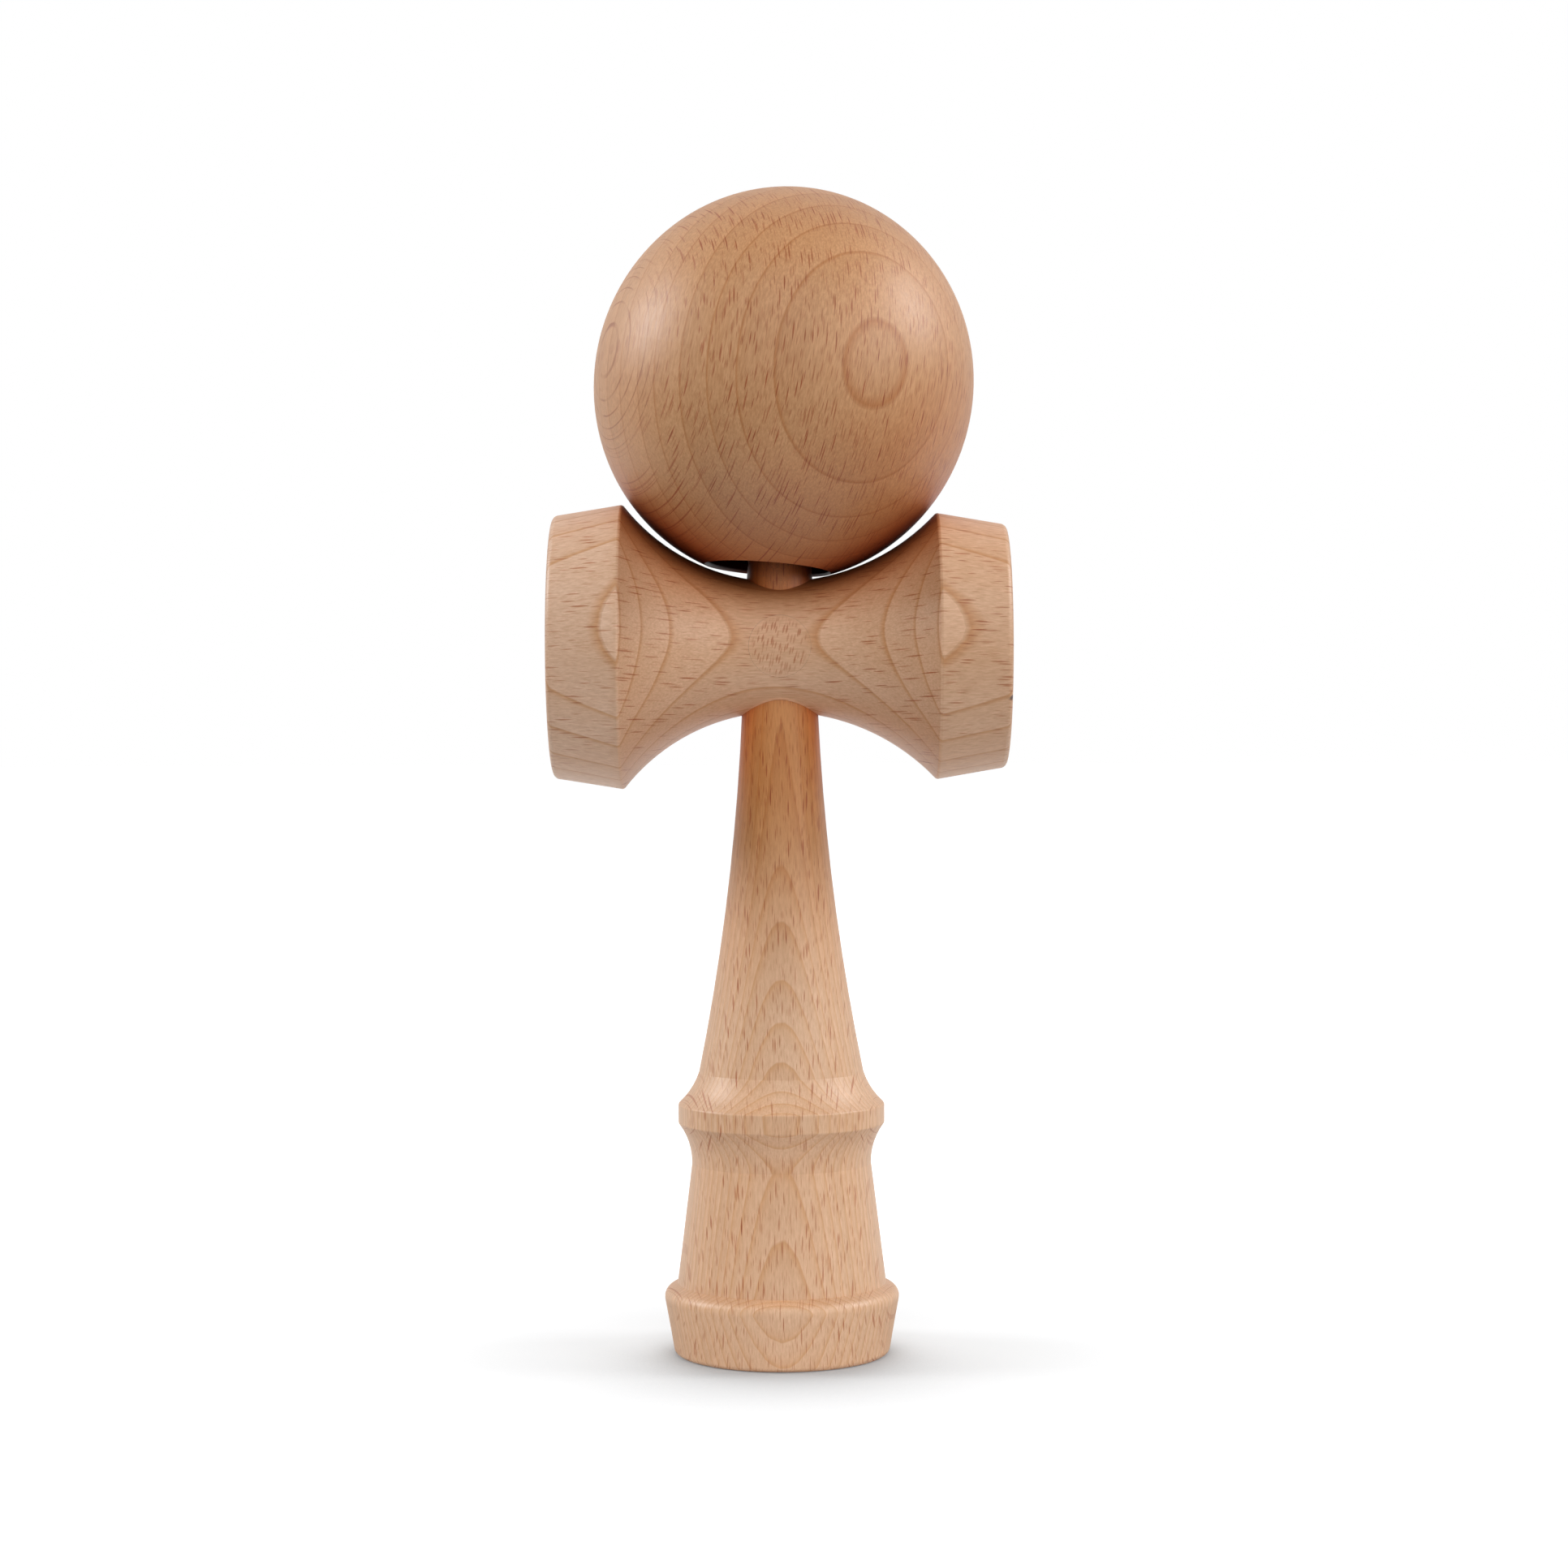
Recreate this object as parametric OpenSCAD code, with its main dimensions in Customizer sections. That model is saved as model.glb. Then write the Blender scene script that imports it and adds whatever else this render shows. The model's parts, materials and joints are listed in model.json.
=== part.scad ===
// Cup and ball toy: a turned handle with a spike, a crosspiece with two cups that slides
// down onto the handle, a flush plug in the crosspiece, and a ball that stands on the spike.
// Millimetres. The floor is z = 0, the handle's axis is Z and the crosspiece lies along X.
// The front is -Y, with the big cup on the left (-X).

/* [Foot] */
// Diameter of the foot at the floor, before its edge is rounded
foot_bottom_d = 33.3; // [30:0.1:35]
// Diameter of the foot where it is widest
foot_d = 36.4; // [35.6:0.1:42]
// Height of the foot where the barrel starts
foot_h = 11; // [9:0.1:14]
// Radius that rounds the foot's shoulder
foot_shoulder_round = 1.7; // [0.8:0.1:2.4]
// How far the rounded shoulder lies below the top of the foot
foot_shoulder_step = 0.4; // [0.1:0.1:1]
// Radius that rounds the foot's bottom edge
foot_edge_round = 1; // [0.4:0.1:1.2]
// Width of the ring round the cup in the underside of the foot
base_cup_lip = 2.1; // [1.5:0.1:4]
// Depth of the cup in the underside of the foot
base_cup_depth = 6; // [5:0.1:9]

/* [Barrel and band] */
// Diameter of the barrel where it meets the foot
barrel_bottom_d = 32.4; // [28:0.1:33]
// Diameter of the barrel where it meets the cove under the band
barrel_top_d = 27.8; // [25:0.1:28.4]
// Length of the barrel, from the foot to the cove
barrel_h = 18.65; // [15:0.05:26]
// Height of the cove, from the barrel to the band
cove_h = 6.3; // [5:0.1:8]
// How far the cove is hollowed below a straight bevel
cove_hollow = 0.55; // [0.3:0.05:0.7]
// Diameter of the raised band
band_d = 32; // [30:0.1:36]
// Width of the raised band
band_h = 2.9; // [1.8:0.1:4]
// Radius that rounds the band's two edges
band_edge_round = 0.5; // [0.2:0.1:0.7]

/* [Shaft and spike] */
// Diameter of the shaft at its foot, above the bevel on the band
shaft_bottom_d = 25.5; // [22:0.1:26.4]
// Height of the bevel between the band and the shaft
bevel_h = 5; // [4:0.1:7]
// How far that bevel is hollowed
bevel_hollow = 0.4; // [0.2:0.05:0.6]
// How far the shaft's taper is hollowed
shaft_hollow = 1.1; // [0.5:0.05:1.3]
// Diameter of the handle where it enters the crosspiece from below
neck_d = 11.8; // [11:0.1:13]
// Diameter of the spike where it leaves the crosspiece
spike_root_d = 10.2; // [9:0.1:10.8]
// Length of the spike above the crosspiece
spike_length = 39.5; // [34:0.5:42]
// Diameter of the spike's rounded tip
spike_tip_d = 5; // [3:0.1:7]

/* [Crosspiece] */
// Height of the crosspiece's axis above the floor
crosspiece_z = 109.7; // [100:0.1:125]
// Length of the crosspiece, rim to rim
crosspiece_length = 70; // [68:0.5:80]
// Diameter of the waist
waist_d = 20.2; // [18.6:0.1:22]
// Diameter of the ridge round the big cup
big_ridge_d = 44; // [42:0.1:48]
// Distance of that ridge from the big cup's rim
big_ridge_inset = 10.8; // [9:0.1:12]
// Diameter of the big cup's rim, outside
big_rim_d = 40.5; // [39.4:0.1:41.6]
// Depth of the big cup
big_cup_depth = 9; // [7:0.1:11]
// Diameter of the ridge round the small cup
small_ridge_d = 41.2; // [39:0.1:44]
// Distance of that ridge from the small cup's rim
small_ridge_inset = 10.8; // [8.5:0.1:11.5]
// Diameter of the small cup's rim, outside
small_rim_d = 37.5; // [36.4:0.1:38.6]
// Depth of the small cup
small_cup_depth = 8; // [6:0.1:10]
// Width of the rim round each cup
cup_lip = 2.1; // [1.8:0.1:4]
// Radius that rounds the outside of each rim
rim_round = 1; // [0.5:0.1:1.2]
// Radius that rounds the lip of each cup
lip_round = 0.4; // [0.2:0.1:0.5]
// Radius that rounds each ridge
ridge_round = 0.6; // [0.2:0.1:0.9]
// Diameter of the plug in the front of the waist
plug_d = 9.5; // [7:0.1:10.5]
// Depth of the plug, from the front of the waist
plug_depth = 3; // [2:0.1:3.4]

/* [Ball] */
// Diameter of the ball across the grain
ball_d = 58.5; // [54:0.1:62]
// Length of the ball along the grain
ball_length = 60.7; // [56:0.1:64]
// How far the ball's grain leans to the right, in degrees
ball_grain_lean = 14.5; // [0:0.5:18]
// Width of the bevel round the spike hole
ball_bevel_w = 1.3; // [0.8:0.1:2]
// Depth of the bevel round the spike hole
ball_bevel_h = 1.4; // [0.8:0.1:2]
// How much narrower the spike hole is at its closed end
ball_hole_taper = 3; // [1:0.1:4]
// Slope of the spike hole's closed end, in degrees
ball_drill_slope = 30; // [15:1:45]
// How far the spike hole leans to the right, in degrees
ball_lean_side = 5; // [0:0.5:6]
// How far the spike hole leans back, in degrees
ball_lean_back = 4; // [0:0.5:5]
// How far the ball's centre lies to the right of the spike's axis
ball_shift = 0.75; // [0:0.05:1.2]

/* [Cord holes] */
// Diameter of the cord's holes in the ball and the crosspiece
cord_hole_d = 3.2; // [2:0.1:4]
// How much wider the cord's hole across the handle is
handle_hole_play = 0.8; // [0.4:0.1:1.5]
// Depth of the countersink at the top of the ball
cord_countersink = 0.8; // [0.3:0.1:1.5]

/* [Fits] */
// Gap all round between the handle's seat and the crosspiece's hole
seat_clearance = 0.05; // [0.02:0.01:0.1]
// Gap all round between the plug and its hole
plug_clearance = 0.02; // [0.01:0.01:0.1]
// Play across the spike hole, over the spike's root
ball_hole_play = 6.8; // [6:0.1:8]
// Gap between the spike's tip and the closed end of the spike hole
ball_tip_gap = 8; // [6:0.1:10]
// Gap between the ball and the crosspiece that it rests on
ball_rest_gap = 0.1; // [0.05:0.05:0.3]

/* [Hidden] */
$fn = 96;
// Sides of the wide circles that hollow an outline, which show only a short arc
hollow_sides = 720;
// How far a cutting shape runs past the face that it cuts
past = 2;
// How far a rounding circle stands proud of the faces it joins, so that they cross cleanly
proud = 0.002;
// How far a cut that rounds a corner reaches, in radii of the rounding
corner_reach = 3;
beech = [0.85, 0.69, 0.54];
beech_warm = [0.80, 0.61, 0.46];
beech_dark = [0.74, 0.55, 0.41];

// Heights up the handle
cove_z = foot_h + barrel_h;
band_z = cove_z + cove_h;
band_top_z = band_z + band_h;
shaft_z = band_top_z + bevel_h;
seat_z = crosspiece_z - waist_d / 2;
spike_z = crosspiece_z + waist_d / 2;
tip_z = spike_z + spike_length;

// The cups lie inside their rims
base_cup_d = foot_bottom_d - 2 * base_cup_lip;
big_cup_d = big_rim_d - 2 * cup_lip;
small_cup_d = small_rim_d - 2 * cup_lip;

// The flanks of the crosspiece are arcs that start along the waist and end on a ridge
big_ridge_x = crosspiece_length / 2 - big_ridge_inset;
small_ridge_x = crosspiece_length / 2 - small_ridge_inset;
big_flank_r = flank_radius(big_ridge_x, big_ridge_d);
small_flank_r = flank_radius(small_ridge_x, small_ridge_d);

// The ball is drawn out along its grain: a point p from its centre lies on it where p * ball_shape * p = 1
grain = [sin(ball_grain_lean), 0, cos(ball_grain_lean)];
across_grain = pow(2 / ball_d, 2);
along_grain = pow(2 / ball_length, 2);
ball_shape = [
    for (i = [0 : 2]) [
        for (j = [0 : 2]) (i == j ? across_grain : 0) + grain[i] * grain[j] * (along_grain - across_grain)
    ]
];

// The spike hole's axis, its edge on the ball's underside and the top of the ball above it
hole_axis = lean([0, 0, 1]);
ball_hole_d = spike_root_d + ball_hole_play;
ball_rim_d = ball_hole_d + 2 * ball_bevel_w;
ball_hole_end_d = ball_hole_d - ball_hole_taper;
ball_rim_drop = -hole_axis * on_ball(ball_rim_d / 2, 90, -1);
ball_top = hole_axis * on_ball(0, 0, 1);

// The ball stands where its underside first comes within the rest gap, which is looked for on rings
// of points from the spike hole's edge out to a share of the ball's radius
contact_rings = 24;
contact_step = 4;
contact_share = 0.85;
contact_reach = contact_share * ball_d / 2;
ball_z = ball_rest_gap + max([
    for (i = [0 : contact_rings], turn = [0 : contact_step : 360 - contact_step])
        let (q = ball_rim_d / 2 + (contact_reach - ball_rim_d / 2) * i / contact_rings)
        ball_height_over(on_ball(q, turn, -1))
]);
// The spike hole ends above the tip of the spike, measured along its own axis
ball_hole_end = (tip_z - ball_z) / hole_axis[2] + ball_tip_gap;

function polar(r, a) = r * [cos(a), sin(a)];
function direction(v) = atan2(v[1], v[0]);

// The point a short way past b on the line from a, inside the neighbouring shape
function run_on(a, b) = b + (b - a) / norm(b - a) * past;

// Radius of a flank's arc, from the ridge's distance along the axis and its diameter
function flank_radius(x, ridge_d) =
    let (rise = (ridge_d - waist_d) / 2) (x * x + rise * rise) / (2 * rise);

// Circle that hollows the straight line from a up to b by a given depth, on the outer side
function hollow_radius(a, b, depth) = (pow(norm(b - a), 2) / 4 + depth * depth) / (2 * depth);
function hollow_centre(a, b, depth) =
    let (way = (b - a) / norm(b - a))
    (a + b) / 2 + [way[1], -way[0]] * (hollow_radius(a, b, depth) - depth);

// Sphere, as a circle's radius, that leaves a cup of diameter d and a given depth
function cup_radius(d, depth) = (d * d / 4 + depth * depth) / (2 * depth);

// Where a line from p touches a circle, on its left (side = 1) or right (side = -1) seen from the centre
function touch(p, centre, r, side) =
    centre + polar(r, direction(p - centre) + side * acos(r / norm(p - centre)));

// Centre of a rounding at corner v between faces whose outward normals point at angles a and b
function corner_centre(v, r, a, b) = v - r * (polar(1, a) + polar(1, b)) / (1 + cos(a - b));

// Centre of a rounding between the line through p, outward normal at angle a, and a hollow circle.
// along is the angle, in the line's direction, in which the rounding lies from p.
function hollow_corner_centre(p, r, a, centre, hollow_r, along) =
    let (u = polar(1, along), w = p - polar(r, a) - centre, s = w * u)
    p - polar(r, a) + u * (-s + sqrt(s * s - w * w + pow(hollow_r + r, 2)));

// Where the spike hole's lean takes a point
function lean(p) =
    let (y = p[1] * cos(ball_lean_back) + p[2] * sin(ball_lean_back))
    let (z = p[2] * cos(ball_lean_back) - p[1] * sin(ball_lean_back))
    [p[0] * cos(ball_lean_side) + z * sin(ball_lean_side), y,
     z * cos(ball_lean_side) - p[0] * sin(ball_lean_side)];

// The ball's surface at q from the spike hole's axis, above the centre (side = 1) or below it (side = -1)
function on_ball(q, turn, side) =
    let (w = lean([q * cos(turn), q * sin(turn), 0]))
    let (a = hole_axis * (ball_shape * hole_axis))
    let (b = w * (ball_shape * hole_axis))
    let (c = w * (ball_shape * w) - 1)
    w + hole_axis * (side * sqrt(b * b - a * c) - b) / a;

// Radius of the crosspiece at a point along it, and 0 beyond its ridges
function flank_at(x) =
    x < -big_ridge_x || x > small_ridge_x ? 0
    : let (r = x < 0 ? big_flank_r : small_flank_r) waist_d / 2 + r - sqrt(r * r - x * x);

// Height at which the ball's centre has to stand for its point p to touch the crosspiece
function ball_height_over(p) =
    let (r = flank_at(p[0] + ball_shift))
    r <= abs(p[1]) ? 0 : crosspiece_z + sqrt(r * r - p[1] * p[1]) - p[2];

// Takes the sharp corner off an outline, outside a circle and between two directions from its centre
module round_corner(centre, r, a, b) {
    reach = corner_reach * r;
    translate(centre)
        difference() {
            polygon([[0, 0], polar(reach, a), polar(reach, (a + b) / 2), polar(reach, b)]);
            circle(r + proud);
        }
}

// The circle that hollows an outline between a and b
module hollow(a, b, depth) {
    translate(hollow_centre(a, b, depth))
        circle(hollow_radius(a, b, depth), $fn = hollow_sides);
}

// Half outline of the foot, with its shoulder rounded
module foot_outline() {
    corner = [foot_bottom_d / 2, 0];
    top = [barrel_bottom_d / 2, foot_h];
    shoulder = [foot_d / 2, foot_h - foot_shoulder_step] - foot_shoulder_round * [1, 1];
    side = touch(corner, shoulder, foot_shoulder_round, 1);
    bevel = touch(top, shoulder, foot_shoulder_round, -1);
    side_normal = direction(side - shoulder);
    difference() {
        union() {
            polygon([[0, 0], corner, side, shoulder, bevel, top, [0, foot_h]]);
            translate(shoulder)
                circle(foot_shoulder_round + proud);
        }
        round_corner(corner_centre(corner, foot_edge_round, -90, side_normal),
            foot_edge_round, -90, side_normal);
        cup_r = cup_radius(base_cup_d, base_cup_depth);
        translate([0, base_cup_depth - cup_r])
            circle(cup_r);
    }
}

// Half outline of the barrel, the cove, the band and the bevel above it
module barrel_outline() {
    band_r = band_d / 2;
    barrel_low = [barrel_bottom_d / 2, foot_h];
    cove_low = [barrel_top_d / 2, cove_z];
    cove_high = [band_r, band_z];
    bevel_low = [band_r, band_top_z];
    bevel_high = [shaft_bottom_d / 2, shaft_z];
    barrel_end = run_on(barrel_low, cove_low);
    polygon([[0, foot_h], barrel_low, barrel_end, [0, barrel_end[1]]]);
    difference() {
        translate([0, cove_z - past])
            square([band_r, shaft_z - cove_z + 2 * past]);
        hollow(cove_low, cove_high, cove_hollow);
        hollow(bevel_low, bevel_high, bevel_hollow);
        band_edge(cove_low, cove_high, cove_hollow, cove_high, 90);
        band_edge(bevel_low, bevel_high, bevel_hollow, bevel_low, -90);
    }
}

// Rounds the band's edge at one end of a hollow, where the band lies in direction along from it
module band_edge(low, high, depth, edge, along) {
    r = hollow_radius(low, high, depth);
    centre = hollow_centre(low, high, depth);
    round_centre = hollow_corner_centre(edge, band_edge_round, 0, centre, r, along);
    round_corner(round_centre, band_edge_round, 0, direction(centre - round_centre));
}

// Half outline of the shaft, the seat and the spike
module shaft_outline() {
    bottom = [shaft_bottom_d / 2, shaft_z];
    neck = [neck_d / 2, seat_z];
    root = [spike_root_d / 2, spike_z];
    tip_r = spike_tip_d / 2;
    tip_centre = [0, tip_z - tip_r];
    seat_start = run_on(root, neck);
    difference() {
        translate([0, shaft_z - past])
            square([bottom[0] + past, seat_z - shaft_z + 2 * past]);
        hollow(bottom, neck, shaft_hollow);
    }
    polygon([[0, seat_start[1]], seat_start, root, touch(root, tip_centre, tip_r, 1), tip_centre]);
    intersection() {
        translate(tip_centre)
            circle(tip_r + proud);
        translate([0, spike_z])
            square([spike_root_d, spike_length + past]);
    }
}

module handle() {
    color(beech)
        difference() {
            rotate_extrude() {
                foot_outline();
                barrel_outline();
                shaft_outline();
            }
            translate([0, 0, crosspiece_z])
                rotate([90, 0, 0])
                    cylinder(h = neck_d + past, d = cord_hole_d + handle_hole_play, center = true);
        }
}

// Half outline of one end of the crosspiece, from the waist (y = 0) out to a cup's rim
module cup_end(ridge_d, ridge_x, rim_d, cup_d, cup_depth, flank_r) {
    end = crosspiece_length / 2;
    rim = [rim_d / 2, end];
    ridge = [ridge_d / 2, ridge_x];
    slope = (ridge[0] - rim[0]) / (end - ridge_x);
    flank_centre = [waist_d / 2 + flank_r, 0];
    band_normal = direction([1, slope]);
    ridge_centre = hollow_corner_centre(ridge, ridge_round, band_normal, flank_centre, flank_r,
        band_normal + 90);
    cup_r = cup_radius(cup_d, cup_depth);
    cup_centre = [0, end + cup_r - cup_depth];
    lip_centre = hollow_corner_centre([cup_d / 2, end], lip_round, 90, cup_centre, cup_r, 0);
    difference() {
        polygon([[0, 0], [ridge[0] + slope * ridge_x, 0], rim, [0, end]]);
        translate(flank_centre)
            circle(flank_r);
        translate(cup_centre)
            circle(cup_r);
        round_corner(corner_centre(rim, rim_round, band_normal, 90), rim_round, band_normal, 90);
        round_corner(ridge_centre, ridge_round, direction(flank_centre - ridge_centre), band_normal);
        round_corner(lip_centre, lip_round, 90, direction(cup_centre - lip_centre));
    }
}

// The crosspiece before it is bored
module crosspiece_body() {
    translate([0, 0, crosspiece_z])
        rotate([0, 90, 0])
            rotate_extrude() {
                cup_end(small_ridge_d, small_ridge_x, small_rim_d, small_cup_d, small_cup_depth,
                    small_flank_r);
                mirror([0, 1])
                    cup_end(big_ridge_d, big_ridge_x, big_rim_d, big_cup_d, big_cup_depth, big_flank_r);
            }
}

// A round bar that lies along Y, from the front of the waist to a given depth
module front_bar(d, depth) {
    translate([0, depth - waist_d / 2, crosspiece_z])
        rotate([90, 0, 0])
            cylinder(h = depth + past, d = d);
}

module crosspiece() {
    taper = (neck_d - spike_root_d) / waist_d;
    color(beech_warm)
        difference() {
            crosspiece_body();
            translate([0, 0, seat_z - past])
                cylinder(h = waist_d + 2 * past, d1 = neck_d + taper * past + 2 * seat_clearance,
                    d2 = spike_root_d - taper * past + 2 * seat_clearance);
            front_bar(plug_d, plug_depth);
            translate([0, waist_d / 2 + past, crosspiece_z])
                rotate([90, 0, 0])
                    cylinder(h = waist_d / 2 + past, d = cord_hole_d);
        }
}

module crosspiece_plug() {
    color(beech_dark)
        intersection() {
            crosspiece_body();
            front_bar(plug_d - 2 * plug_clearance, plug_depth);
        }
}

// Half outline of the spike hole and the cord's hole, in the ball's own frame
module ball_hole_outline() {
    rim = [ball_rim_d / 2, -ball_rim_drop];
    throat = [ball_hole_d / 2, ball_bevel_h - ball_rim_drop];
    flare = (rim - throat) / ball_bevel_h;
    cord_r = cord_hole_d / 2;
    drill_point = (ball_hole_end_d / 2 - cord_r) * tan(ball_drill_slope);
    polygon([
        [0, rim[1] - past], rim + flare * past, throat,
        [ball_hole_end_d / 2, ball_hole_end - drill_point], [cord_r, ball_hole_end],
        [cord_r, ball_top - cord_countersink], [cord_r + cord_countersink + past, ball_top + past],
        [0, ball_top + past]
    ]);
}

module ball() {
    color(beech_dark)
        translate([ball_shift, 0, ball_z])
            difference() {
                rotate([0, ball_grain_lean, 0])
                    rotate_extrude()
                        intersection() {
                            scale([1, ball_length / ball_d])
                                circle(d = ball_d);
                            translate([0, -ball_length])
                                square([ball_d, 2 * ball_length]);
                        }
                rotate([-ball_lean_back, ball_lean_side, 0])
                    rotate_extrude()
                        ball_hole_outline();
            }
}

handle();
crosspiece();
crosspiece_plug();
ball();
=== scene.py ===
import json
import math

import bpy
from mathutils import Matrix, Vector

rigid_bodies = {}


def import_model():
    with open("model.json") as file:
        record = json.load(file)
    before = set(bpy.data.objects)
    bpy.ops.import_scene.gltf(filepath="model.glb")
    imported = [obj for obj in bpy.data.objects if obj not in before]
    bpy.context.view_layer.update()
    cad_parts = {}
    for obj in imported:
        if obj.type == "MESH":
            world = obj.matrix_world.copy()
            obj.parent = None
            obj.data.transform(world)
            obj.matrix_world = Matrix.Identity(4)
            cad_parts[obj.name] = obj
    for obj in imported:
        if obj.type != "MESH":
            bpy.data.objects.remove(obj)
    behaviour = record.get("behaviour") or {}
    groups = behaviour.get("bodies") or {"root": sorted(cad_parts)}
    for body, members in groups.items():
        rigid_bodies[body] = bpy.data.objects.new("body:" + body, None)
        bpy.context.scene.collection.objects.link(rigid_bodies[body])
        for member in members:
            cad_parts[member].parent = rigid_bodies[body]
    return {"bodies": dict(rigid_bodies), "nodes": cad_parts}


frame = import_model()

MM = 0.001
PER_MM = 1000.0
WHITE = (1.0, 1.0, 1.0, 1.0)
RIGHT = Vector((1.0, 0.0, 0.0))
BACK = Vector((0.0, 1.0, 0.0))
UP = Vector((0.0, 0.0, 1.0))

# Camera, fitted to the outline in the photograph
IMAGE_PX = 1932
FOCAL_PX = 4089.8
SENSOR_MM = 36.0
CAMERA_PLACE = Vector((0.00058, -0.51448, 0.10318))
CAMERA_PITCH = 0.028645
CAMERA_ROLL = -0.003463
CAMERA_CLIP = (0.01, 50.0)

# Floor, in metres from the middle of the foot: what it gives back as light, and what it shows
FLOOR_HALF = 4.0
FLOOR_Z = -0.00004
FLOOR_BOUNCE_NEAR = 0.7
FLOOR_BOUNCE_FAR = 0.12
SHEET_EDGE = (0.11, 0.26)
FLOOR_SHOWN_COLOUR = (0.36, 0.37, 0.38, 1.0)
FLOOR_NEAR_LIFT = 0.68
FLOOR_FAR_LIFT = 1.0
FLOOR_LIFT_EDGE = (0.03, 0.10)
FLOOR_MIRRORED_EDGE = (-0.02, 0.10)

# Soft shade on the floor round the foot
CONTACT_REACH = 0.04
CONTACT_SHADE = 0.25
CONTACT_OPEN = (0.35, 0.98)
CONTACT_LEAN = Vector((0.0, 0.5, 0.87))
CONTACT_SAMPLES = 16

# World: the light it gives, and where its white begins to be mirrored, from the sides to the back
WORLD_LIGHT = 0.08
BACKDROP_EDGE = (0.0, 0.6)

# Lamps: name, place, width, height, watts, whether gloss shows it. All face the toy's middle
LAMP_TARGET = Vector((0.0, 0.0, 0.1))
LAMPS = (
    ("softbox_left", (-0.75, 0.06, 0.52), 0.26, 0.32, 3.4, True),
    ("softbox_right", (0.72, 0.04, 0.56), 0.26, 0.32, 2.9, True),
    ("softbox_right_front", (0.70, -0.50, 0.42), 0.30, 0.40, 1.4, True),
    ("panel_front", (0.0, -1.4, 0.50), 1.8, 0.9, 6.2, False),
    ("panel_high", (0.0, -0.80, 0.95), 0.8, 0.5, 4.1, False),
    ("panel_back", (0.0, 1.4, 0.50), 1.8, 0.9, 3.0, False),
)


def clear_startup():
    """Removes what the startup file holds, so that only the frame is left."""
    kept = set(frame["nodes"].values()) | set(frame["bodies"].values())
    for obj in list(bpy.data.objects):
        if obj not in kept:
            bpy.data.objects.remove(obj)


def linear(red, green, blue):
    """A colour given in 0 to 255 as it looks on screen, in scene values with alpha."""
    def channel(value):
        share = value / 255.0
        if share <= 0.04045:
            return share / 12.92
        return ((share + 0.055) / 1.055) ** 2.4

    return (channel(red), channel(green), channel(blue), 1.0)


def unit(x, y, z):
    return Vector((x, y, z)).normalized()


class Graph:
    """Adds shader nodes to a material or a world and links them."""

    def __init__(self, owner):
        owner.use_nodes = True
        self.tree = owner.node_tree
        self.tree.nodes.clear()

    def put(self, socket, value):
        if isinstance(value, bpy.types.NodeSocket):
            self.tree.links.new(value, socket)
        else:
            socket.default_value = value

    def node(self, kind, **settings):
        made = self.tree.nodes.new(kind)
        for key, value in settings.items():
            setattr(made, key, value)
        return made

    def math(self, operation, *values, clamp=False):
        made = self.node("ShaderNodeMath", operation=operation, use_clamp=clamp)
        for socket, value in zip(made.inputs, values):
            self.put(socket, value)
        return made.outputs[0]

    def vector(self, operation, *values, output=0):
        made = self.node("ShaderNodeVectorMath", operation=operation)
        for socket, value in zip(made.inputs, values):
            self.put(socket, value)
        return made.outputs[output]

    def dot(self, a, b):
        return self.vector("DOT_PRODUCT", a, b, output="Value")

    def length(self, a):
        return self.vector("LENGTH", a, output="Value")

    def scaled(self, a, factor):
        made = self.node("ShaderNodeVectorMath", operation="SCALE")
        self.put(made.inputs[0], a)
        self.put(made.inputs["Scale"], factor)
        return made.outputs[0]

    def joined(self, x, y, z=0.0):
        made = self.node("ShaderNodeCombineXYZ")
        for socket, value in zip(made.inputs, (x, y, z)):
            self.put(socket, value)
        return made.outputs[0]

    def noise(self, place, scale=1.0, detail=2.0, rough=0.5, output="Fac"):
        made = self.node("ShaderNodeTexNoise", noise_dimensions="3D")
        self.put(made.inputs["Vector"], place)
        self.put(made.inputs["Scale"], scale)
        self.put(made.inputs["Detail"], detail)
        self.put(made.inputs["Roughness"], rough)
        return made.outputs[output]

    def smooth(self, value, low, high, start=0.0, end=1.0):
        made = self.node("ShaderNodeMapRange", interpolation_type="SMOOTHSTEP")
        self.put(made.inputs["Value"], value)
        self.put(made.inputs["From Min"], low)
        self.put(made.inputs["From Max"], high)
        self.put(made.inputs["To Min"], start)
        self.put(made.inputs["To Max"], end)
        return made.outputs[0]

    def ramp(self, factor, stops):
        made = self.node("ShaderNodeValToRGB")
        band = made.color_ramp
        band.interpolation = "LINEAR"
        while len(band.elements) < len(stops):
            band.elements.new(1.0)
        for element, (place, colour) in zip(band.elements, stops):
            element.position = place
            element.color = colour
        self.put(made.inputs[0], factor)
        return made.outputs[0]

    def mix(self, factor, a, b, blend="MIX"):
        made = self.node("ShaderNodeMix", data_type="RGBA", blend_type=blend)
        self.put(made.inputs["Factor"], factor)
        colours = [s for s in made.inputs if s.type == "RGBA"]
        self.put(colours[0], a)
        self.put(colours[1], b)
        return [s for s in made.outputs if s.type == "RGBA"][0]

    def tinted(self, factor, tone, tint):
        return self.mix(factor, tone, tint, "MULTIPLY")

    def openness(self, reach, samples, normal=None):
        """How open a place is to its surroundings: 0 where others close it in, 1 where nothing is near."""
        made = self.node("ShaderNodeAmbientOcclusion", samples=samples)
        self.put(made.inputs["Distance"], reach)
        if normal is not None:
            self.put(made.inputs["Normal"], self.vector("NORMALIZE", normal))
        return made.outputs["AO"]


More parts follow.
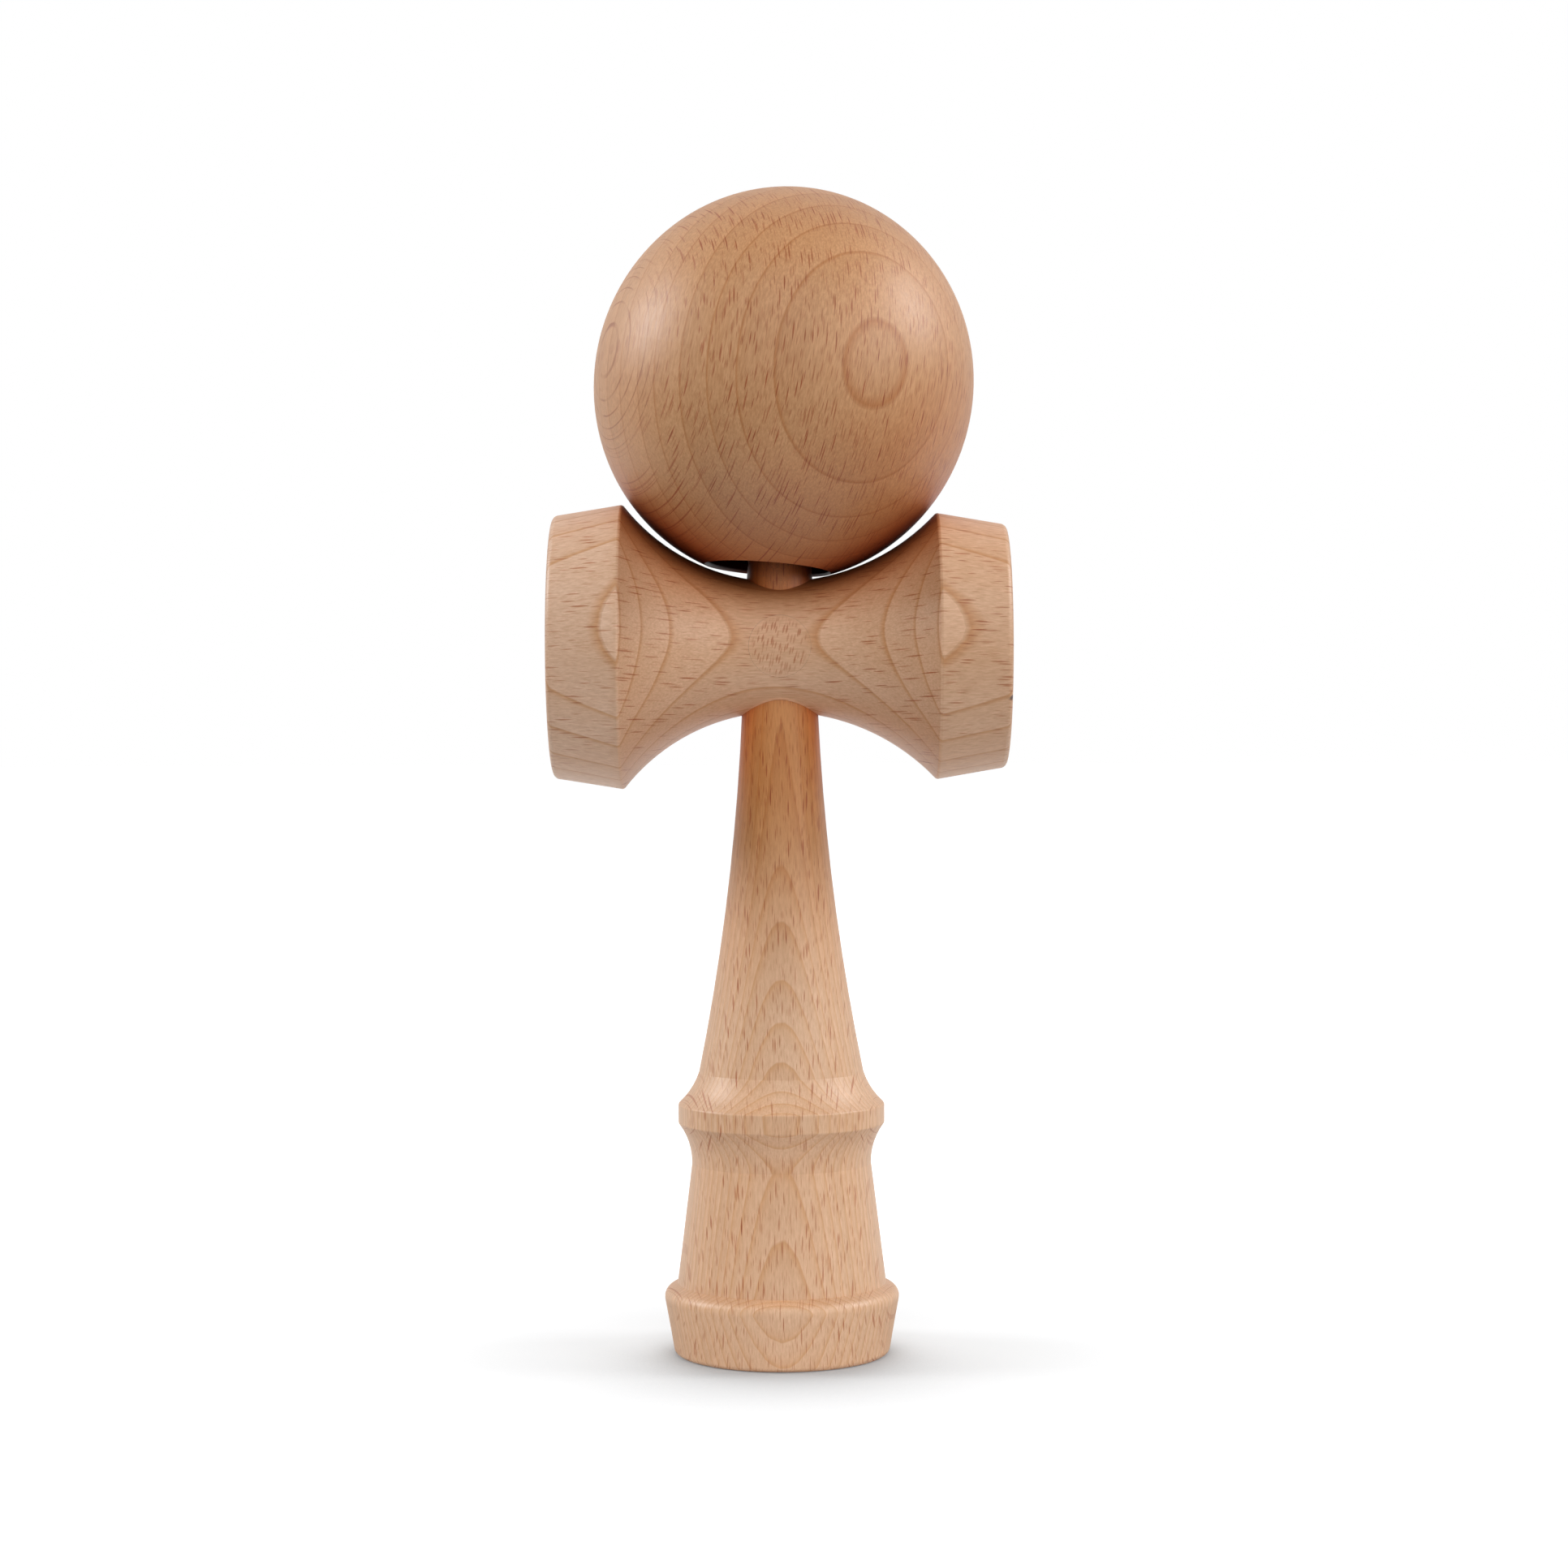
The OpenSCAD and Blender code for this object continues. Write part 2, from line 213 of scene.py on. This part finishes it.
# Yearly rings: how the colour changes from a ring's inner edge, 0, to its outer edge, 1
BOLD_RINGS = (
    (0.0, (1.05, 1.06, 1.08, 1.0)),
    (0.35, (1.02, 1.02, 1.03, 1.0)),
    (0.86, (0.985, 0.965, 0.94, 1.0)),
    (0.965, (0.83, 0.65, 0.45, 1.0)),
    (1.0, (0.97, 0.95, 0.93, 1.0)),
)
BALL_RINGS = (
    (0.0, (1.05, 1.06, 1.08, 1.0)),
    (0.35, (1.02, 1.02, 1.03, 1.0)),
    (0.91, (0.985, 0.965, 0.94, 1.0)),
    (0.97, (0.84, 0.66, 0.46, 1.0)),
    (1.0, (0.97, 0.95, 0.93, 1.0)),
)
FAINT_RINGS = (
    (0.0, (1.03, 1.04, 1.05, 1.0)),
    (0.45, (1.01, 1.01, 1.01, 1.0)),
    (0.80, (0.97, 0.93, 0.87, 1.0)),
    (0.96, (0.91, 0.78, 0.61, 1.0)),
    (1.0, (1.0, 1.0, 1.0, 1.0)),
)
RING_UNEVEN = 0.16
RING_TURN_IN = 1.9
RING_TURN_OUT = 2.3
SWAY_ACROSS_MM = 15.0
SWAY_ALONG_MM = 55.0
SWAY_DETAIL = 1.5

# Fibres: noise scales across and along the grain, and the tints of dark and pale ones
BROAD_SCALES = (0.11, 0.033)
BROAD_RANGE = (0.3, 0.7)
BROAD_TINT = (1.0, 0.965, 0.93, 1.0)
FIBRE_SCALES = (2.6, 0.22)
FIBRE_TONES = ((0.93, 0.89, 0.84, 1.0), (1.06, 1.09, 1.13, 1.0))
THREAD_SCALES = (4.2, 0.5)
THREAD_TONES = ((0.86, 0.79, 0.71, 1.0), (1.12, 1.17, 1.23, 1.0))
STRAND_RANGE = (0.25, 0.75)
STREAK_DETAIL = 3.0
STREAK_ROUGH = 0.6

# Ray flecks: width and length of a cell in mm, least reach, spread of the reach, seed, scatter of the cells
STRONG_FLECKS = (0.52, 7.2, 0.11, 0.14, 3.1, 1.0)
FAINT_FLECKS = (0.38, 4.8, 0.10, 0.14, 17.3, 1.0)
PLUG_FLECKS = (0.46, 2.2, 0.30, 0.10, 2.4, 0.7)
FLECK_TINT = (0.56, 0.18, 0.0, 1.0)
FLECK_POINTED = 1.35
FLECK_CORE = 0.72
FLECK_PALEST = 0.5
FLECK_SEED_RATIO = 1.7
# Where a face lies along the rays, few flecks show and the rays draw loops instead
FLECK_EDGE_ON = (0.70, 0.97)
FLECK_LEFT_EDGE_ON = 0.35
LOOP_TINT = (0.66, 0.44, 0.26, 1.0)
LOOP_LINE_MM = (0.015, 0.06)
LOOP_EDGE_ON = (0.80, 0.94)
LOOP_BREAKS = (0.38, 0.62)
LOOP_BREAK_SCALE = 0.16

# End grain, and painted shade in hollows, in two stages
END_TINT = (0.82, 0.76, 0.70, 1.0)
END_RANGE = (0.45, 1.0)
END_SHARE = 0.8
HOLLOW_SHADE_TINT = (0.74, 0.43, 0.21, 1.0)
SPIKE_HOLLOW_SHADE_TINT = (1.4, 0.84, 0.42, 1.0)
BALL_HOLLOW_SHADE_TINT = (0.72, 0.33, 0.12, 1.0)
DEEP_SHADE_TINT = (0.38, 0.23, 0.15, 1.0)
HOLLOW_OPEN = (0.30, 0.90)
DEEP_OPEN = (0.10, 0.48)
HOLLOW_SHARE = 0.95
HOLLOW_REACH = 0.04
HOLLOW_SAMPLES = 8
CLEAR_OF_FLOOR_MM = (12.0, 40.0)
# Shade on the spike where it stands close under another piece
OVERHUNG_SHADE_TINT = (0.12, 0.07, 0.05, 1.0)
OVERHUNG_OPEN = (0.0, 0.06)
OVERHUNG_REACH = 0.022
OVERHUNG_SAMPLES = 16
OVERHUNG_SOFT_MM = 2.0

# Tints of single places. The bore, the ball's low side and the shaft top are painted shade
BORE_SHADE_TINT = (0.10, 0.07, 0.05, 1.0)
BALL_LOW_SHADE_TINT = (0.94, 0.78, 0.64, 1.0)
SHAFT_TOP_SHADE_TINT = (0.77, 0.53, 0.27, 1.0)
PALE_TINT = (1.07, 1.16, 1.30, 1.0)
TORN_TINT = (1.22, 1.24, 1.26, 1.0)
NICK_TINT = (0.15, 0.10, 0.08, 1.0)

# Satin finish
GLOSS = 1.0
ROUGHNESS = (0.44, 0.54)
ROUGHNESS_FIBRE = (0.2, 0.8)
BUMP_STRENGTH = 0.25
BUMP_DISTANCE = 0.06 * MM
BUMP_FLECK = -0.6
BUMP_FIBRE = 0.5


def wood_frame(grain, outward):
    """Three crossed directions of a piece of wood: out from the pith, sideways, along the grain."""
    along = unit(*grain)
    out = Vector(outward)
    out = (out - along * out.dot(along)).normalized()
    return out, along.cross(out), along


def carried_on(radii, count):
    """Carries ring radii on to both sides, at about their own spacing."""
    step = (radii[-1] - radii[0]) / (len(radii) - 1)
    edges = list(radii)
    for i in range(1, count + 1):
        edges.insert(0, edges[0] - step * (1.0 + RING_UNEVEN * math.sin(RING_TURN_IN * i)))
        edges.append(edges[-1] + step * (1.0 + RING_UNEVEN * math.sin(RING_TURN_OUT * i)))
    return edges


def ring_phase(g, radius, edges):
    """Counts rings outwards, a whole number at each inner edge, evenly spaced past the last edges."""
    low, high = edges[0], edges[-1]
    span = high - low
    last = len(edges) - 1
    stops = [((edge - low) / span, (i / last, i / last, i / last, 1.0)) for i, edge in enumerate(edges)]
    share = g.math("DIVIDE", g.math("SUBTRACT", radius, low), span, clamp=True)
    inside = g.math("MULTIPLY", g.ramp(share, stops), float(last))
    below = g.math("MINIMUM", g.math("SUBTRACT", radius, low), 0.0)
    above = g.math("MAXIMUM", g.math("SUBTRACT", radius, high), 0.0)
    return g.math("MULTIPLY_ADD", g.math("ADD", below, above), last / span, inside)


def ring_colour(g, look, from_pith):
    """Yearly rings round the pith, pale inside and darker and redder towards the outer edge."""
    out, side, along = from_pith
    sway_across = [g.math("DIVIDE", distance, SWAY_ACROSS_MM) for distance in (out, side)]
    sway_at = g.joined(*sway_across, g.math("DIVIDE", along, SWAY_ALONG_MM))
    sway = g.vector("SUBTRACT", g.noise(sway_at, detail=SWAY_DETAIL, output="Color"), (0.5, 0.5, 0.5))
    swayed = g.vector("ADD", g.joined(out, side), g.scaled(sway, look["sway"]))
    flat = g.vector("MULTIPLY", swayed, (1.0, 1.0, 0.0))
    phase = ring_phase(g, g.length(flat), look["rings"])
    chance = g.node("ShaderNodeTexWhiteNoise", noise_dimensions="1D")
    g.put(chance.inputs["W"], g.math("FLOOR", phase))
    odds = look["ring_odds"]
    odd = g.math("MULTIPLY_ADD", chance.outputs["Value"], odds, 1.0 - 0.5 * odds)
    ring = g.tinted(1.0, g.ramp(g.math("FRACT", phase), look["ring_tones"]), look["base"])
    return g.tinted(1.0, ring, g.joined(odd, odd, odd))


def streaks(g, from_pith, scales):
    """Noise drawn out along the grain."""
    out, side, along = from_pith
    across_scale, along_scale = scales
    across = [g.math("MULTIPLY", distance, across_scale) for distance in (out, side)]
    at = g.joined(*across, g.math("MULTIPLY", along, along_scale))
    return g.noise(at, detail=STREAK_DETAIL, rough=STREAK_ROUGH)


def ray_map(g, place, look, axes):
    """Distance across the rays, distance along the grain, and the direction across the rays."""
    out, side, along = axes
    if "ray_across" in look:
        across = unit(*look["ray_across"])
        return g.dot(place, across), g.dot(place, unit(*look["ray_along"])), across
    angle = g.math("ARCTAN2", g.dot(place, side), g.dot(place, out))
    return g.math("MULTIPLY", angle, look["mean_radius"]), g.dot(place, along), side


def flecks(g, across, along, kind, share):
    """Thin spindles, dark at 1, where the rays come out of the surface. That share of the cells has one."""
    width, length, least, spread, seed, scatter = kind
    place = g.joined(g.math("DIVIDE", across, width), g.math("DIVIDE", along, length))
    cells = g.node("ShaderNodeTexVoronoi", voronoi_dimensions="2D", distance="MINKOWSKI")
    g.put(cells.inputs["Vector"], g.vector("ADD", place, (seed, FLECK_SEED_RATIO * seed, 0.0)))
    g.put(cells.inputs["Scale"], 1.0)
    g.put(cells.inputs["Exponent"], FLECK_POINTED)
    g.put(cells.inputs["Randomness"], scatter)
    chance = g.node("ShaderNodeSeparateColor")
    g.put(chance.inputs[0], cells.outputs["Color"])
    reach = g.math("MULTIPLY_ADD", chance.outputs[0], spread, least)
    mask = g.smooth(cells.outputs["Distance"], g.math("MULTIPLY", reach, FLECK_CORE), reach, 1.0, 0.0)
    picked = g.math("LESS_THAN", chance.outputs[2], share)
    darkness = g.math("MULTIPLY_ADD", chance.outputs[1], 1.0 - FLECK_PALEST, FLECK_PALEST)
    return g.math("MULTIPLY", g.math("MULTIPLY", mask, picked), darkness)


def loops(g, across, edge_on, broken, kind):
    """Thin lines on a face that lies along the rays, which they cut into long loops."""
    spacing, start = kind
    turn = g.math("FRACT", g.math("DIVIDE", g.math("SUBTRACT", across, start), spacing))
    off = g.math("MULTIPLY", g.math("ABSOLUTE", g.math("SUBTRACT", turn, 0.5)), spacing)
    line = g.smooth(off, *LOOP_LINE_MM, 1.0, 0.0)
    there = g.math("MULTIPLY", g.smooth(edge_on, *LOOP_EDGE_ON), g.smooth(broken, *LOOP_BREAKS))
    return g.math("MULTIPLY", line, there)


def from_line(g, place, centre, axis):
    """Distance of a place from a line, and its distance along it."""
    from_centre = g.vector("SUBTRACT", place, centre)
    height = g.dot(from_centre, axis)
    across = g.vector("SUBTRACT", from_centre, g.scaled(axis, height))
    return g.length(across), height


def marked(g, tone, gloss, place, marks):
    """Tints places within a distance of a line and a range along it, or in the range alone.

    The range fades out over the soft length. A dull mark loses its gloss too.
    """
    for mark in marks:
        away, height = from_line(g, place, mark["from"], mark["axis"])
        low, high = mark["range"]
        above = g.smooth(height, low - mark["soft"], low)
        below = g.smooth(height, high, high + mark["soft"], 1.0, 0.0)
        amount = g.math("MULTIPLY", above, below)
        if "within" in mark:
            amount = g.math("MULTIPLY", g.smooth(away, *mark["within"], 1.0, 0.0), amount)
        tone = g.tinted(amount, tone, mark["tint"])
        if mark.get("dull"):
            gloss = g.math("MULTIPLY_ADD", amount, -gloss, gloss)
    return tone, gloss


def painted_hollow_shade(g, tone, place, hollow_shade_tint):
    """Paints shade into narrow hollows, where the pieces close each other in. The floor doesn't count."""
    openness = g.openness(HOLLOW_REACH, HOLLOW_SAMPLES)
    off_floor = g.smooth(g.dot(place, UP), *CLEAR_OF_FLOOR_MM)
    for edges, tint in ((HOLLOW_OPEN, hollow_shade_tint), (DEEP_OPEN, DEEP_SHADE_TINT)):
        closed = g.smooth(openness, *edges, HOLLOW_SHARE, 0.0)
        tone = g.tinted(g.math("MULTIPLY", closed, off_floor), tone, tint)
    return tone


def overhung(g, tone, place, lowest):
    """Paints shade on what lies close under another piece, above a height in mm."""
    openness = g.openness(OVERHUNG_REACH, OVERHUNG_SAMPLES, UP)
    above = g.smooth(g.dot(place, UP), lowest, lowest + OVERHUNG_SOFT_MM)
    amount = g.math("MULTIPLY", g.smooth(openness, *OVERHUNG_OPEN, 1.0, 0.0), above)
    return g.tinted(amount, tone, OVERHUNG_SHADE_TINT)


def wood(name, look):
    """Beech: yearly rings, ray flecks, fibres, end grain, painted shade and a satin finish."""
    material = bpy.data.materials.new(name)
    g = Graph(material)
    coords = g.node("ShaderNodeTexCoord")
    normal = coords.outputs["Normal"]
    in_mm = g.scaled(coords.outputs["Object"], PER_MM)
    place = g.vector("SUBTRACT", in_mm, look["pith"])
    axes = wood_frame(look["grain"], look["outward"])
    from_pith = [g.dot(place, axis) for axis in axes]

    tone = ring_colour(g, look, from_pith)
    broad = streaks(g, from_pith, BROAD_SCALES)
    tone = g.tinted(g.smooth(broad, *BROAD_RANGE), tone, BROAD_TINT)
    fibre = streaks(g, from_pith, FIBRE_SCALES)
    thread = streaks(g, from_pith, THREAD_SCALES)
    for strand, (dark, pale) in ((fibre, FIBRE_TONES), (thread, THREAD_TONES)):
        strands = g.mix(g.smooth(strand, *STRAND_RANGE), dark, pale)
        tone = g.tinted(look["fibres"], tone, strands)

    across, along, ray_way = ray_map(g, place, look, axes)
    edge_on = g.math("ABSOLUTE", g.dot(normal, ray_way))
    shown = g.smooth(edge_on, *FLECK_EDGE_ON, 1.0, FLECK_LEFT_EDGE_ON)
    if "fleck_patch" in look:
        centre, axis, edge = look["fleck_patch"]
        away, _ = from_line(g, in_mm, centre, axis)
        shown = g.math("MULTIPLY", shown, g.smooth(away, *edge, 1.0, 0.0))
    faint = g.math("MULTIPLY", flecks(g, across, along, FAINT_FLECKS, look["faint_share"]), shown)
    strong = g.math("MULTIPLY", flecks(g, across, along, look["flecks"], look["share"]), shown)
    tone = g.tinted(g.math("MULTIPLY", faint, look["faint_depth"]), tone, FLECK_TINT)
    tone = g.tinted(g.math("MULTIPLY", strong, look["depth"]), tone, FLECK_TINT)
    if "loops" in look:
        broken = g.noise(place, scale=LOOP_BREAK_SCALE, detail=1.0)
        tone = g.tinted(loops(g, across, edge_on, broken, look["loops"]), tone, LOOP_TINT)

    facing_end = g.math("ABSOLUTE", g.dot(normal, axes[2]))
    tone = g.tinted(g.smooth(facing_end, *END_RANGE, 0.0, END_SHARE), tone, END_TINT)
    # Painted shade in the hollows, and on the spike where another piece hangs over it
    tone = painted_hollow_shade(g, tone, in_mm, look["hollow_shade_tint"])
    if "overhung_above" in look:
        tone = overhung(g, tone, in_mm, look["overhung_above"])
    tone, gloss = marked(g, tone, GLOSS, in_mm, look["marks"])

    bump = g.node("ShaderNodeBump")
    g.put(bump.inputs["Strength"], BUMP_STRENGTH)
    g.put(bump.inputs["Distance"], BUMP_DISTANCE)
    raised = g.math("MULTIPLY", fibre, BUMP_FIBRE)
    g.put(bump.inputs["Height"], g.math("MULTIPLY_ADD", strong, BUMP_FLECK, raised))

    shader = g.node("ShaderNodeBsdfPrincipled")
    g.put(shader.inputs["Base Color"], tone)
    g.put(shader.inputs["Roughness"], g.smooth(fibre, *ROUGHNESS_FIBRE, *ROUGHNESS))
    g.put(shader.inputs["Specular IOR Level"], gloss)
    g.put(shader.inputs["Normal"], bump.outputs[0])
    result = g.node("ShaderNodeOutputMaterial")
    g.put(result.inputs["Surface"], shader.outputs[0])
    return material


# Places in the wood, in mm
CROSSPIECE_CENTRE = Vector((0.0, 0.0, 109.7))
CROSSPIECE_PITH = Vector((0.0, 79.3, 97.7))
CROSSPIECE_RINGS = (87.4, 91.0, 94.75, 97.85, 100.9)
CROSSPIECE_NICK = Vector((34.6, -16.6, 101.8))
HANDLE_FOOT = Vector((0.0, 0.0, 0.0))
HANDLE_PITH = Vector((0.5, -62.0, 40.0))
HANDLE_RINGS = (47.5, 48.5, 49.58, 50.54, 51.45, 52.5, 53.25)
BALL_CENTRE = Vector((0.75, 0.0, 150.09))
BALL_AXIS = unit(0.0869434, 0.0697565, 0.993768)
BALL_LOW_WAY = unit(0.45, 0.0, -0.9)
BALL_OUTWARD = -unit(0.455, -0.89, 0.01)
BALL_PITH_AWAY = 105.0
# How far in front of the ball's centre each ring's edge lies, towards the pith
BALL_RINGS_BEFORE_CENTRE = (28.5, 23.9, 19.9, 16.0, 11.8)
# The rays' loops on the ball's left side: the outermost lies this deep under the surface
BALL_RAY_ACROSS = unit(-0.913, -0.377, 0.156)
BALL_HALF_ACROSS = 29.26
BALL_LOOP_DEPTH = 0.93
BALL_LOOP_SPACING = 0.66
BALL_CENTRE_ACROSS = (BALL_OUTWARD * BALL_PITH_AWAY).dot(BALL_RAY_ACROSS)
BALL_LOOP_AT = BALL_CENTRE_ACROSS + BALL_HALF_ACROSS - BALL_LOOP_DEPTH - 0.5 * BALL_LOOP_SPACING

# Each piece's wood. The shares say how many cells have a fleck, the depths how dark the flecks are
LOOKS = {
    "crosspiece": {
        "grain": (1.0, 0.032, 0.0),
        "outward": (0.0, -0.989, 0.15),
        "pith": CROSSPIECE_PITH,
        "mean_radius": 92.0,
        "rings": carried_on(CROSSPIECE_RINGS, 9),
        "sway": 0.9,
        "base": linear(222, 178, 142),
        "ring_tones": BOLD_RINGS,
        "ring_odds": 0.05,
        "hollow_shade_tint": HOLLOW_SHADE_TINT,
        "fibres": 0.7,
        "flecks": STRONG_FLECKS,
        "share": 0.6,
        "depth": 0.85,
        "faint_share": 0.6,
        "faint_depth": 0.4,
        "marks": (
            {
                "from": CROSSPIECE_CENTRE,
                "axis": UP,
                "within": (6.15, 6.55),
                "range": (-12.0, -4.0),
                "soft": 1.0,
                "tint": TORN_TINT,
            },
            {
                "from": CROSSPIECE_CENTRE,
                "axis": RIGHT,
                "range": (-40.0, -26.0),
                "soft": 3.0,
                "tint": PALE_TINT,
            },
            {
                "from": CROSSPIECE_NICK,
                "axis": RIGHT,
                "within": (0.25, 0.55),
                "range": (-0.6, 0.6),
                "soft": 0.2,
                "tint": NICK_TINT,
            },
        ),
    },
    "ball": {
        "grain": (0.17, 0.10, 0.98),
        "outward": BALL_OUTWARD,
        "pith": BALL_CENTRE - BALL_OUTWARD * BALL_PITH_AWAY,
        "rings": carried_on([BALL_PITH_AWAY - before for before in BALL_RINGS_BEFORE_CENTRE], 9),
        "ray_across": BALL_RAY_ACROSS,
        "ray_along": (0.09, 0.187, 0.974),
        "loops": (BALL_LOOP_SPACING, BALL_LOOP_AT),
        "sway": 0.9,
        "base": linear(207, 154, 107),
        "ring_tones": BALL_RINGS,
        "ring_odds": 0.05,
        "hollow_shade_tint": BALL_HOLLOW_SHADE_TINT,
        "fibres": 0.85,
        "flecks": STRONG_FLECKS,
        "share": 1.0,
        "depth": 0.85,
        "faint_share": 1.0,
        "faint_depth": 0.55,
        "marks": (
            # Painted shade: the spike hole's wall near black, as it lies in shadow; the mark also takes its
            # gloss away
            {
                "from": BALL_CENTRE,
                "axis": BALL_AXIS,
                "within": (9.3, 9.9),
                "range": (-40.0, 14.0),
                "soft": 3.0,
                "tint": BORE_SHADE_TINT,
                "dull": True,
            },
            # Painted shade: the ball darker and redder on its lower side, towards the hole
            {
                "from": BALL_CENTRE,
                "axis": BALL_LOW_WAY,
                "range": (21.0, 60.0),
                "soft": 15.0,
                "tint": BALL_LOW_SHADE_TINT,
            },
        ),
    },
    "handle": {
        "grain": (0.0, 0.03, 1.0),
        "outward": BACK,
        "pith": HANDLE_PITH,
        "mean_radius": 50.0,
        "rings": carried_on(HANDLE_RINGS, 8),
        "sway": 0.5,
        "base": linear(226, 184, 148),
        "ring_tones": FAINT_RINGS,
        "ring_odds": 0.06,
        "hollow_shade_tint": SPIKE_HOLLOW_SHADE_TINT,
        "overhung_above": 112.0,
        "fibres": 0.55,
        "flecks": STRONG_FLECKS,
        "share": 0.6,
        "depth": 0.8,
        "faint_share": 0.95,
        "faint_depth": 0.55,
        "marks": (
            # Painted shade: the upper shaft darker and redder, where the crosspiece shades it
            {
                "from": HANDLE_FOOT,
                "axis": UP,
                "range": (90.0, 112.0),
                "soft": 40.0,
                "tint": SHAFT_TOP_SHADE_TINT,
            },
        ),
    },
}
# The plug is the crosspiece's wood, with the flecks across it and none at its rim
LOOKS["crosspiece_plug"] = LOOKS["crosspiece"] | {
    "ray_across": (0.974, 0.0, -0.225),
    "ray_along": (0.225, 0.0, 0.974),
    "fleck_patch": (CROSSPIECE_CENTRE, BACK, (3.7, 4.7)),
    "flecks": PLUG_FLECKS,
    "share": 1.0,
    "depth": 0.62,
    "marks": (),
}


def dress():
    """Gives each node its wood."""
    for name, look in LOOKS.items():
        frame["nodes"][name].material_slots[0].material = wood(name + "_beech", look)


def seen_directly(g, mirrored):
    """1 for rays from the camera, and the mirrored share for those that gloss or glass sends on."""
    path = g.node("ShaderNodeLightPath")
    sent_on = g.math("MAXIMUM", path.outputs["Is Glossy Ray"], path.outputs["Is Transmission Ray"])
    return g.math("MAXIMUM", path.outputs["Is Camera Ray"], g.math("MULTIPLY", sent_on, mirrored))


def floor_material():
    """Gives back light like a pale sheet, and shows white with the toy's shadow on it."""
    material = bpy.data.materials.new("floor_white")
    g = Graph(material)
    at = g.node("ShaderNodeTexCoord").outputs["Object"]
    away = g.length(at)
    lit = g.node("ShaderNodeBsdfDiffuse")
    bounce = g.smooth(away, *SHEET_EDGE, FLOOR_BOUNCE_NEAR, FLOOR_BOUNCE_FAR)
    g.put(lit.inputs["Color"], g.joined(bounce, bounce, bounce))
    shown = g.node("ShaderNodeBsdfDiffuse")
    g.put(shown.inputs["Color"], FLOOR_SHOWN_COLOUR)
    openness = g.openness(CONTACT_REACH, CONTACT_SAMPLES, CONTACT_LEAN)
    unshaded = g.smooth(openness, *CONTACT_OPEN, CONTACT_SHADE, 1.0)
    lift = g.node("ShaderNodeEmission")
    risen = g.smooth(away, *FLOOR_LIFT_EDGE, FLOOR_NEAR_LIFT, FLOOR_FAR_LIFT)
    g.put(lift.inputs["Strength"], g.math("MULTIPLY", risen, unshaded))
    lifted = g.node("ShaderNodeAddShader")
    g.put(lifted.inputs[0], shown.outputs[0])
    g.put(lifted.inputs[1], lift.outputs[0])
    mixed = g.node("ShaderNodeMixShader")
    g.put(mixed.inputs[0], seen_directly(g, g.smooth(g.dot(at, BACK), *FLOOR_MIRRORED_EDGE)))
    g.put(mixed.inputs[1], lit.outputs[0])
    g.put(mixed.inputs[2], lifted.outputs[0])
    result = g.node("ShaderNodeOutputMaterial")
    g.put(result.inputs["Surface"], mixed.outputs[0])
    return material


def make_floor():
    mesh = bpy.data.meshes.new("floor")
    signs = ((-1, -1), (1, -1), (1, 1), (-1, 1))
    corners = [(x * FLOOR_HALF, y * FLOOR_HALF, FLOOR_Z) for x, y in signs]
    mesh.from_pydata(corners, [], [(0, 1, 2, 3)])
    floor = bpy.data.objects.new("floor", mesh)
    bpy.context.scene.collection.objects.link(floor)
    mesh.materials.append(floor_material())


def make_world():
    """Even white surroundings, shown at full white. Gloss finds a dim room in front of the toy."""
    world = bpy.data.worlds.new("studio")
    bpy.context.scene.world = world
    g = Graph(world)
    light = g.node("ShaderNodeBackground")
    white = g.node("ShaderNodeBackground")
    for shader, strength in ((light, WORLD_LIGHT), (white, 1.0)):
        g.put(shader.inputs["Color"], WHITE)
        g.put(shader.inputs["Strength"], strength)
    way = g.node("ShaderNodeTexCoord").outputs["Generated"]
    mixed = g.node("ShaderNodeMixShader")
    g.put(mixed.inputs[0], seen_directly(g, g.smooth(g.dot(way, BACK), *BACKDROP_EDGE)))
    g.put(mixed.inputs[1], light.outputs[0])
    g.put(mixed.inputs[2], white.outputs[0])
    result = g.node("ShaderNodeOutputWorld")
    g.put(result.inputs["Surface"], mixed.outputs[0])


def make_lights():
    """Soft rectangular lamps. One that gloss doesn't show only fills, and leaves no highlight."""
    for name, place, width, height, watts, mirrored in LAMPS:
        lamp = bpy.data.lights.new(name, "AREA")
        lamp.shape = "RECTANGLE"
        lamp.size = width
        lamp.size_y = height
        lamp.energy = watts
        obj = bpy.data.objects.new(name, lamp)
        obj.visible_glossy = mirrored
        obj.location = place
        obj.rotation_mode = "QUATERNION"
        obj.rotation_quaternion = (LAMP_TARGET - Vector(place)).to_track_quat("-Z", "Y")
        bpy.context.scene.collection.objects.link(obj)


def make_camera():
    data = bpy.data.cameras.new("camera")
    data.sensor_width = SENSOR_MM
    data.lens = FOCAL_PX / IMAGE_PX * SENSOR_MM
    data.clip_start, data.clip_end = CAMERA_CLIP
    obj = bpy.data.objects.new("camera", data)
    up = Vector((0.0, math.sin(CAMERA_PITCH), math.cos(CAMERA_PITCH)))
    rolled_right = RIGHT * math.cos(CAMERA_ROLL) + up * math.sin(CAMERA_ROLL)
    rolled_up = up * math.cos(CAMERA_ROLL) - RIGHT * math.sin(CAMERA_ROLL)
    back = rolled_right.cross(rolled_up)
    axes = Matrix((rolled_right, rolled_up, back)).transposed().to_4x4()
    obj.matrix_world = Matrix.Translation(CAMERA_PLACE) @ axes
    bpy.context.scene.collection.objects.link(obj)
    bpy.context.scene.camera = obj


clear_startup()
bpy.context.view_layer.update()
bpy.context.scene.view_settings.view_transform = "Standard"
make_camera()
make_world()
make_floor()
make_lights()
dress()
